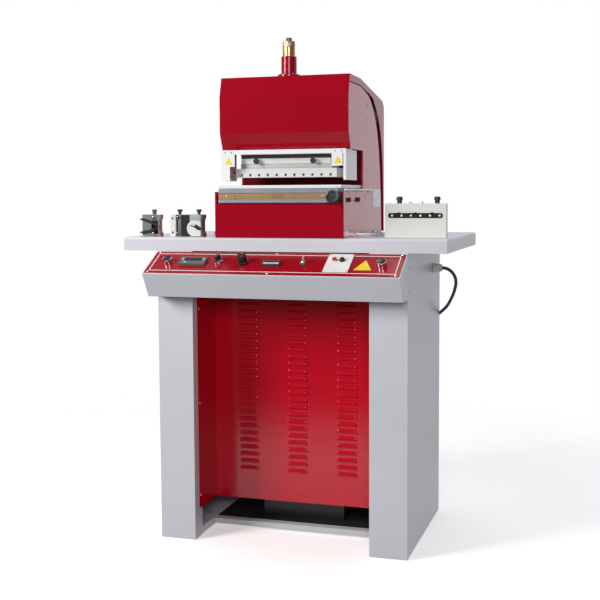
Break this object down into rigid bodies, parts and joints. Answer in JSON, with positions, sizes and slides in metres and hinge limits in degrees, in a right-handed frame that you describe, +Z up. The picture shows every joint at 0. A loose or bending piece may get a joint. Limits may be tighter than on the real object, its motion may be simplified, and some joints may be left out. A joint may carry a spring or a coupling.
{
  "type": "hot foil stamper",
  "caption": "Hydraulic hot foil stamping press: a heated type head over a sliding bed, on a sheet-metal cabinet table with a sloping control panel and loose type holders.",
  "frame": {"origin": "on the floor, under the middle of the machine without its cord", "axes": "+Z up, the operator stands at -Y, +X is the operator's right"},
  "size_m": [0.965, 0.8315, 1.4743],
  "materials": {
    "grey_paint": "light grey satin powder coat",
    "red_paint": "deep red gloss powder coat",
    "dark_red_paint": "deep red satin paint",
    "white_paint": "white satin powder coat",
    "pan_steel": "grey satin paint",
    "steel": "brushed",
    "polished_steel": "polished",
    "cast": "machined and oiled",
    "cylinder_paint": "dark grey enamel",
    "brass": "satin",
    "ivory_alloy": "fine bead-blasted",
    "grey_alloy": "fine bead-blasted",
    "silver_alloy": "satin anodised",
    "black_plastic": "fine grain",
    "gloss_black": "gloss",
    "red_plastic": "gloss",
    "instrument_plastic": "satin",
    "white_plastic": "satin",
    "grey_plastic": "satin",
    "insulation": "dull laminate",
    "lead_sleeve": "woven glass sleeving",
    "black_rubber": "matt"
  },
  "bodies": {
    "machine": {"left_side": "grey_paint", "right_side": "grey_paint", "recess_panel": "red_paint", "base_pan": "pan_steel", "rear_cover": "grey_paint", "table_top": "grey_paint", "control_box": "grey_paint", "panel_plate": "red_paint", "instruments": "instrument_plastic", "switch_plate": "white_plastic", "control_bezels": "polished_steel", "screws": "steel", "power_pack": "cylinder_paint", "pressure_hose": "black_rubber", "cable_gland": "grey_plastic", "left_head_plate": "red_paint", "right_head_plate": "red_paint", "hood": "red_paint", "head_rear_cover": "red_paint", "base_cover": "red_paint", "clamp_bar": "steel", "throat_panel": "dark_red_paint", "bridge_plate": "cast", "ram_cylinder": "cylinder_paint", "sleeve_tube": "red_paint", "guard": "white_paint", "anvil_block": "cast", "side_guide": "white_paint", "mains_cable": "black_rubber", "mains_coil": "black_rubber", "mains_plug": "black_rubber"},
    "ram": {"ram_rod": "polished_steel", "ram_plate": "steel", "insulation_plate": "insulation", "heater_block": "white_paint", "type_plate": "silver_alloy", "brass_sleeve": "brass", "heater_lead": "lead_sleeve"},
    "stroke_nut": {"stroke_nut": "steel"},
    "clamp_knob_left": {"clamp_knob_left": "black_plastic"},
    "clamp_knob_right": {"clamp_knob_right": "black_plastic"},
    "bed": {"bed_slide": "silver_alloy", "bed_plate": "white_paint", "brass_rule": "brass"},
    "bed_knob": {"bed_knob": "gloss_black"},
    "start_button_left": {"start_button_left": "gloss_black"},
    "start_button_right": {"start_button_right": "gloss_black"},
    "selector_lever": {"selector_lever": "gloss_black"},
    "dial_knob": {"dial_knob": "black_plastic"},
    "toggle_lever": {"toggle_lever": "polished_steel"},
    "stop_button": {"stop_button": "red_plastic"},
    "run_button": {"run_button": "gloss_black"},
    "chase_holder": {"chase_holder": "ivory_alloy"},
    "chase_knob_left": {"chase_knob_left": "black_plastic"},
    "chase_knob_right": {"chase_knob_right": "black_plastic"},
    "jaw_holder": {"jaw_holder": "grey_alloy"},
    "jaw_knob": {"jaw_knob": "black_plastic"},
    "round_holder": {"round_holder": "ivory_alloy"},
    "round_knob_left": {"round_knob_left": "black_plastic"},
    "round_knob_right": {"round_knob_right": "black_plastic"}
  },
  "joints": [
    {"name": "ram_stroke", "type": "slide", "parent": "machine", "child": "ram", "axis": [0, 0, -1], "range_m": [0, 0.02]},
    {"name": "stroke_nut_turn", "type": "hinge", "parent": "ram", "child": "stroke_nut", "pos_m": [0, -0.11, 1.469], "axis": [0, 0, 1], "range_deg": [-180, 180]},
    {"name": "clamp_knob_left_turn", "type": "hinge", "parent": "ram", "child": "clamp_knob_left", "pos_m": [-0.086, -0.1484, 1.119], "axis": [0, -1, 0], "range_deg": [-180, 180]},
    {"name": "clamp_knob_right_turn", "type": "hinge", "parent": "ram", "child": "clamp_knob_right", "pos_m": [0.086, -0.1484, 1.119], "axis": [0, -1, 0], "range_deg": [-180, 180]},
    {"name": "bed_draw", "type": "slide", "parent": "machine", "child": "bed", "axis": [0, -1, 0], "range_m": [0, 0.09]},
    {"name": "bed_knob_turn", "type": "hinge", "parent": "bed", "child": "bed_knob", "pos_m": [0.166, -0.23, 1.016], "axis": [0, -1, 0], "range_deg": [-180, 180]},
    {"name": "start_left_press", "type": "slide", "parent": "machine", "child": "start_button_left", "axis": [0, 0.4835, -0.8753], "range_m": [0, 0.004], "stiffness_N_per_m": 800, "springref_m": -0.002},
    {"name": "start_right_press", "type": "slide", "parent": "machine", "child": "start_button_right", "axis": [0, 0.4835, -0.8753], "range_m": [0, 0.004], "stiffness_N_per_m": 800, "springref_m": -0.002},
    {"name": "selector_turn", "type": "hinge", "parent": "machine", "child": "selector_lever", "pos_m": [-0.163, -0.26824, 0.83364], "axis": [0, -0.4835, 0.8753], "range_deg": [-45, 45]},
    {"name": "dial_turn", "type": "hinge", "parent": "machine", "child": "dial_knob", "pos_m": [-0.087, -0.27174, 0.83171], "axis": [0, -0.4835, 0.8753], "range_deg": [-135, 135]},
    {"name": "toggle_flip", "type": "hinge", "parent": "machine", "child": "toggle_lever", "pos_m": [0.089, -0.27144, 0.8353], "axis": [0, 0.8753, 0.4835], "range_deg": [-30, 0]},
    {"name": "stop_press", "type": "slide", "parent": "machine", "child": "stop_button", "axis": [0, 0.4835, -0.8753], "range_m": [0, 0.0015], "stiffness_N_per_m": 600, "springref_m": -0.002},
    {"name": "run_press", "type": "slide", "parent": "machine", "child": "run_button", "axis": [0, 0.4835, -0.8753], "range_m": [0, 0.0015], "stiffness_N_per_m": 600, "springref_m": -0.002},
    {"name": "chase_holder_lift", "type": "slide", "parent": "machine", "child": "chase_holder", "axis": [0, 0, 1], "range_m": [0, 0.12]},
    {"name": "chase_knob_left_turn", "type": "hinge", "parent": "chase_holder", "child": "chase_knob_left", "pos_m": [0.333, -0.136, 0.9964], "axis": [0, 0, 1], "range_deg": [-180, 180]},
    {"name": "chase_knob_right_turn", "type": "hinge", "parent": "chase_holder", "child": "chase_knob_right", "pos_m": [0.44, -0.136, 0.9964], "axis": [0, 0, 1], "range_deg": [-180, 180]},
    {"name": "jaw_holder_lift", "type": "slide", "parent": "machine", "child": "jaw_holder", "axis": [0, 0, 1], "range_m": [0, 0.12]},
    {"name": "jaw_knob_turn", "type": "hinge", "parent": "jaw_holder", "child": "jaw_knob", "pos_m": [-0.401, -0.18, 0.9654], "axis": [0, 0, 1], "range_deg": [-180, 180]},
    {"name": "round_holder_lift", "type": "slide", "parent": "machine", "child": "round_holder", "axis": [0, 0, 1], "range_m": [0, 0.12]},
    {"name": "round_knob_left_turn", "type": "hinge", "parent": "round_holder", "child": "round_knob_left", "pos_m": [-0.323, -0.17, 0.9654], "axis": [0, 0, 1], "range_deg": [-180, 180]},
    {"name": "round_knob_right_turn", "type": "hinge", "parent": "round_holder", "child": "round_knob_right", "pos_m": [-0.262, -0.17, 0.9654], "axis": [0, 0, 1], "range_deg": [-180, 180]}
  ]
}
